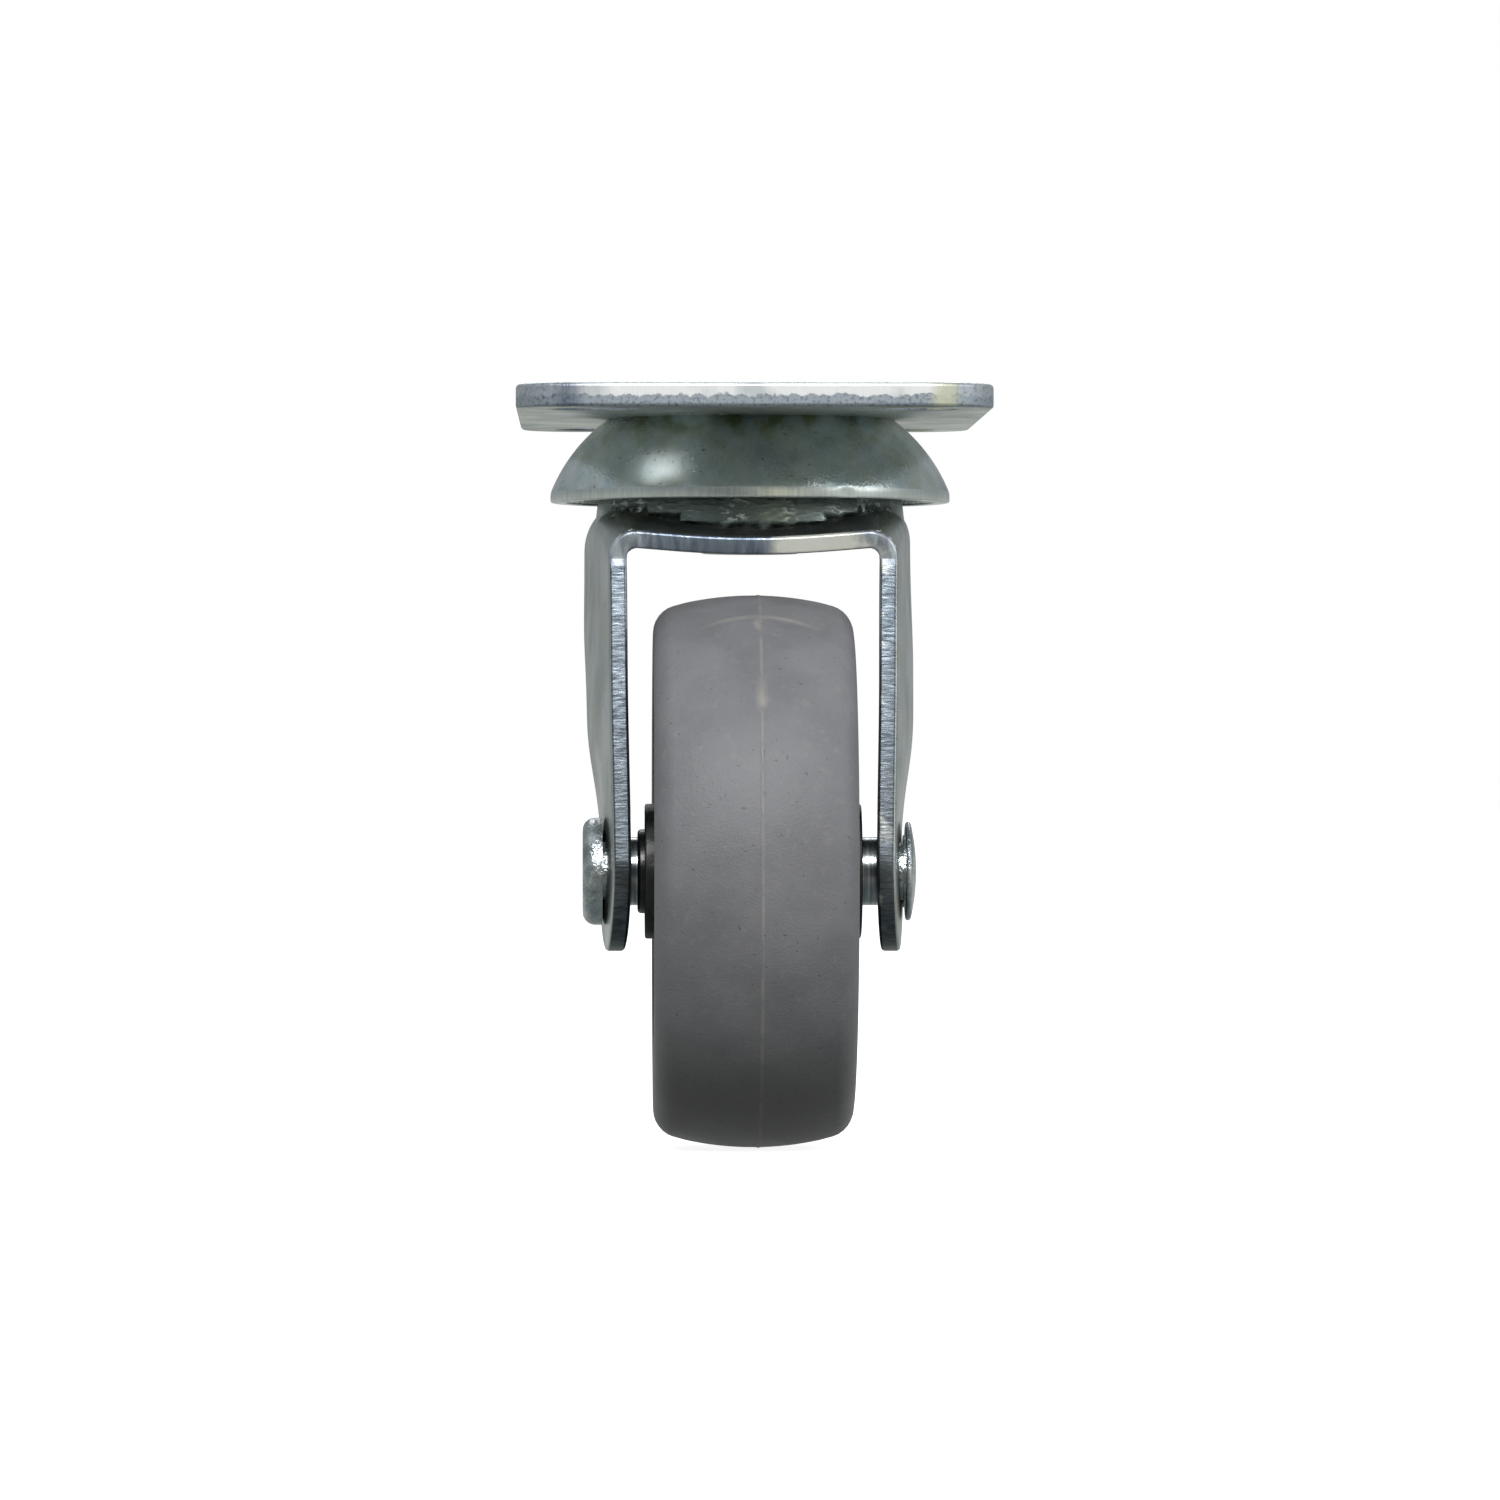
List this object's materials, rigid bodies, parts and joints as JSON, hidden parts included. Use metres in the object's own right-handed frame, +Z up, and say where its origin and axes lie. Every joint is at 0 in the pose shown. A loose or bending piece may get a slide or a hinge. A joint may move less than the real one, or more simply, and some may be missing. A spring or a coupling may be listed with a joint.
{
  "type": "swivel plate caster",
  "caption": "Swivel plate caster used as a gate wheel: slotted top plate, flared ball-race hood, stamped steel fork and grey rubber wheel on a riveted axle.",
  "frame": {"origin": "centre of the top plate's mounting face", "axes": "+Z up out of the mounting face, X along the axle, the wheel trails towards -Y"},
  "size_m": [0.065, 0.1061, 0.1045],
  "materials": {
    "zinc_plate": "bright zinc plating on rolled steel",
    "zinc_hood": "zinc plating on drawn steel",
    "zinc_fork": "zinc plating on stamped steel",
    "zinc_rivet": "zinc plating on a formed head",
    "bright_tube": "bright drawn tube",
    "bearing_steel": "polished, greased",
    "black_nylon": "moulded",
    "black_core": "moulded",
    "grey_rubber": "moulded, satin"
  },
  "bodies": {
    "mounting": {"top_plate": "zinc_plate", "race_hood": "zinc_hood", "kingpin": "zinc_rivet", "lower_race": "zinc_fork"},
    "fork_body": {"fork": "zinc_fork", "axle_rivet": "zinc_rivet", "axle_sleeve": "bright_tube"},
    "wheel": {"wheel_tread": "grey_rubber", "wheel_core": "black_core", "hub_sleeve": "black_nylon"},
    "upper_balls": {"upper_ball_01": "bearing_steel", "upper_ball_02": "bearing_steel", "upper_ball_03": "bearing_steel", "upper_ball_04": "bearing_steel", "upper_ball_05": "bearing_steel", "upper_ball_06": "bearing_steel", "upper_ball_07": "bearing_steel", "upper_ball_08": "bearing_steel", "upper_ball_09": "bearing_steel", "upper_ball_10": "bearing_steel", "upper_ball_11": "bearing_steel", "upper_ball_12": "bearing_steel", "upper_ball_13": "bearing_steel", "upper_ball_14": "bearing_steel", "upper_ball_15": "bearing_steel", "upper_ball_16": "bearing_steel", "upper_ball_17": "bearing_steel", "upper_ball_18": "bearing_steel", "upper_ball_19": "bearing_steel", "upper_ball_20": "bearing_steel"},
    "lower_balls": {"lower_ball_01": "bearing_steel", "lower_ball_02": "bearing_steel", "lower_ball_03": "bearing_steel", "lower_ball_04": "bearing_steel", "lower_ball_05": "bearing_steel", "lower_ball_06": "bearing_steel", "lower_ball_07": "bearing_steel", "lower_ball_08": "bearing_steel", "lower_ball_09": "bearing_steel", "lower_ball_10": "bearing_steel", "lower_ball_11": "bearing_steel", "lower_ball_12": "bearing_steel", "lower_ball_13": "bearing_steel"}
  },
  "joints": [
    {"name": "swivel", "type": "hinge", "parent": "mounting", "child": "fork_body", "pos_m": [0, 0, -0.0108], "axis": [0, 0, 1], "continuous": true},
    {"name": "wheel_spin", "type": "hinge", "parent": "fork_body", "child": "wheel", "pos_m": [0, -0.022, -0.0664], "axis": [1, 0, 0], "continuous": true},
    {"name": "upper_ball_orbit", "type": "hinge", "parent": "mounting", "child": "upper_balls", "pos_m": [0, 0, -0.0108], "axis": [0, 0, 1], "continuous": true},
    {"name": "lower_ball_orbit", "type": "hinge", "parent": "mounting", "child": "lower_balls", "pos_m": [0, 0, -0.0108], "axis": [0, 0, 1], "continuous": true}
  ],
  "couplings": [
    {"joint": "upper_ball_orbit", "follows": "swivel", "ratio": 0.5},
    {"joint": "lower_ball_orbit", "follows": "swivel", "ratio": 0.5}
  ]
}
